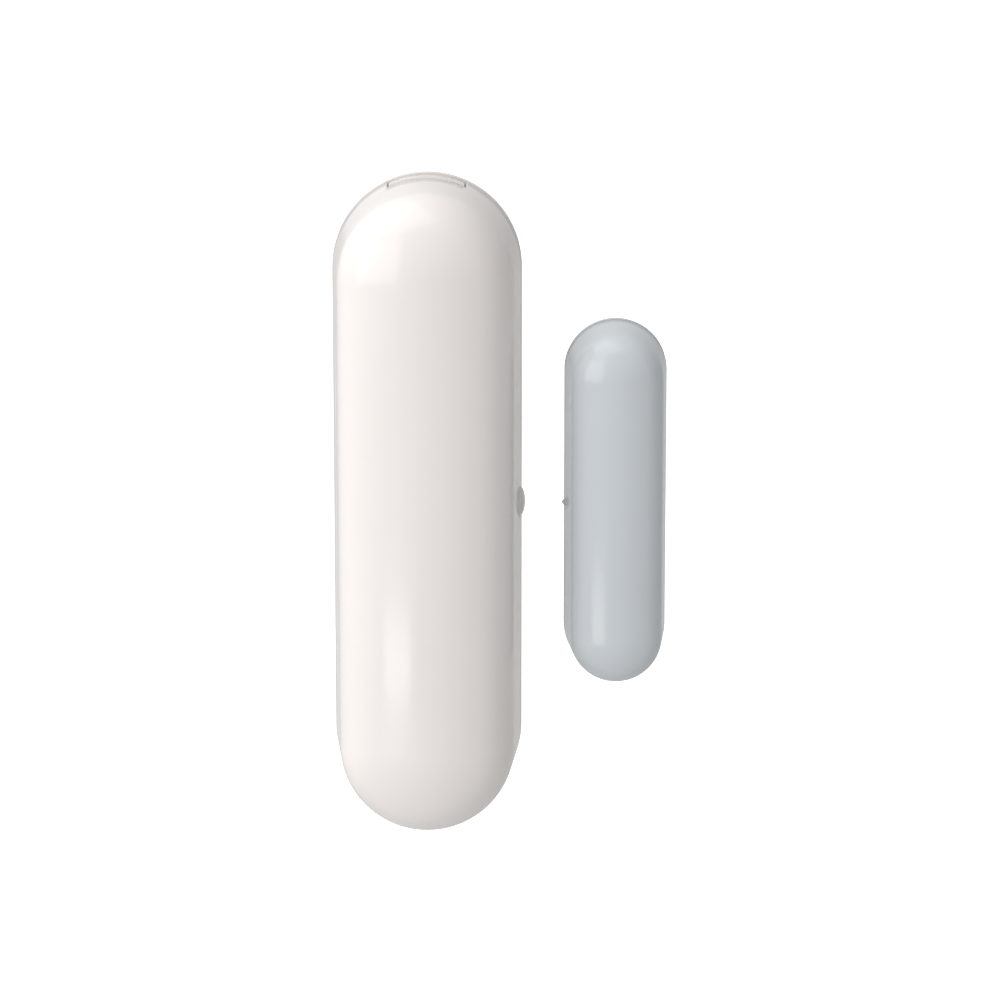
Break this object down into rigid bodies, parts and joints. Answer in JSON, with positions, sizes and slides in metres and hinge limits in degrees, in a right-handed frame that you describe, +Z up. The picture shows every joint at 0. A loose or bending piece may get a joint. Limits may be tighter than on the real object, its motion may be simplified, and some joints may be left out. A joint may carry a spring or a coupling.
{
  "type": "door contact sensor",
  "caption": "Two-piece wireless door contact sensor: a long pill-shaped sensor housing and a short magnet housing, both with domed snap covers.",
  "frame": {"origin": "middle of the sensor housing's mounting face, on the tape behind the wall plate", "axes": "+Z up along the housings, +Y into the wall, +X from the sensor towards the magnet"},
  "size_m": [0.0417, 0.02, 0.082],
  "materials": {
    "cover_white": "gloss",
    "base_white": "fine satin",
    "magnet_grey": "gloss",
    "magnet_base_grey": "fine satin",
    "tape_foam": "foam tape",
    "packing_foam": "open foam",
    "board_green": "solder mask over glass epoxy",
    "screw_steel": "zinc plated",
    "reed_tube": "clear green glass",
    "reed_metal": "nickel iron",
    "chip_black": "moulded",
    "shield_tin": "tinned",
    "capacitor_can": "drawn can",
    "cell_steel": "nickel plated",
    "cell_sleeve": "shrink sleeve",
    "cell_gasket": "card",
    "contact_nickel": "nickel plated spring strip",
    "antenna_metal": "pale brass",
    "led_body": "clear epoxy",
    "switch_black": "moulded",
    "button_plastic": "moulded",
    "magnet_ferrite": "sintered"
  },
  "bodies": {
    "sensor": {"rear_base": "base_white", "adhesive_pad": "tape_foam", "circuit_board": "board_green", "board_screws": "screw_steel", "reed_glass": "reed_tube", "reed_upper_lead": "reed_metal", "reed_lower_lead": "reed_metal", "microcontroller": "chip_black", "radio_chip": "chip_black", "radio_shield": "shield_tin", "crystal": "shield_tin", "capacitor": "capacitor_can", "status_led": "led_body", "surface_parts": "chip_black", "antenna": "antenna_metal", "pairing_switch": "switch_black", "tamper_switch": "switch_black", "tamper_spring": "contact_nickel", "battery_can": "cell_steel", "battery_sleeve": "cell_sleeve", "battery_cap": "cell_steel", "battery_gasket": "cell_gasket", "positive_contact": "contact_nickel", "negative_plate": "contact_nickel", "negative_spring": "contact_nickel", "return_strip": "contact_nickel"},
    "cover": {"front_cover": "cover_white"},
    "latch": {"release_latch": "cover_white"},
    "plunger": {"tamper_plunger": "button_plastic"},
    "button": {"pairing_button": "button_plastic"},
    "reed_blade": {"reed_moving_blade": "reed_metal"},
    "magnet": {"magnet_base": "magnet_base_grey", "bar_magnet": "magnet_ferrite", "magnet_foam": "packing_foam", "magnet_adhesive_pad": "tape_foam"},
    "magnet_cap": {"magnet_cover": "magnet_grey"}
  },
  "joints": [
    {"name": "cover_tilt", "type": "hinge", "parent": "sensor", "child": "cover", "pos_m": [0, -0.0022, -0.041], "axis": [1, 0, 0], "range_deg": [0, 25]},
    {"name": "latch_press", "type": "hinge", "parent": "sensor", "child": "latch", "pos_m": [0, -0.0025, 0.03985], "axis": [1, 0, 0], "range_deg": [0, 10], "stiffness_Nm_per_rad": 0.05},
    {"name": "tamper_travel", "type": "slide", "parent": "sensor", "child": "plunger", "axis": [0, 1, 0], "range_m": [0, 0.0012], "stiffness_N_per_m": 250, "deforming": ["tamper_spring"]},
    {"name": "pairing_press", "type": "slide", "parent": "sensor", "child": "button", "axis": [0, 1, 0], "range_m": [0, 0.00025], "stiffness_N_per_m": 800},
    {"name": "magnet_travel", "type": "slide", "parent": "sensor", "child": "magnet", "axis": [1, 0, 0], "range_m": [0, 0.04]},
    {"name": "reed_open", "type": "hinge", "parent": "sensor", "child": "reed_blade", "pos_m": [0.0077, -0.00752, -0.0052], "axis": [1, 0, 0], "range_deg": [0, 1.5]},
    {"name": "magnet_cap_pull", "type": "slide", "parent": "magnet", "child": "magnet_cap", "axis": [0, -1, 0], "range_m": [0, 0.012]}
  ],
  "couplings": [
    {"joint": "reed_open", "follows": "magnet_travel", "rad_per_m": 0.65}
  ]
}
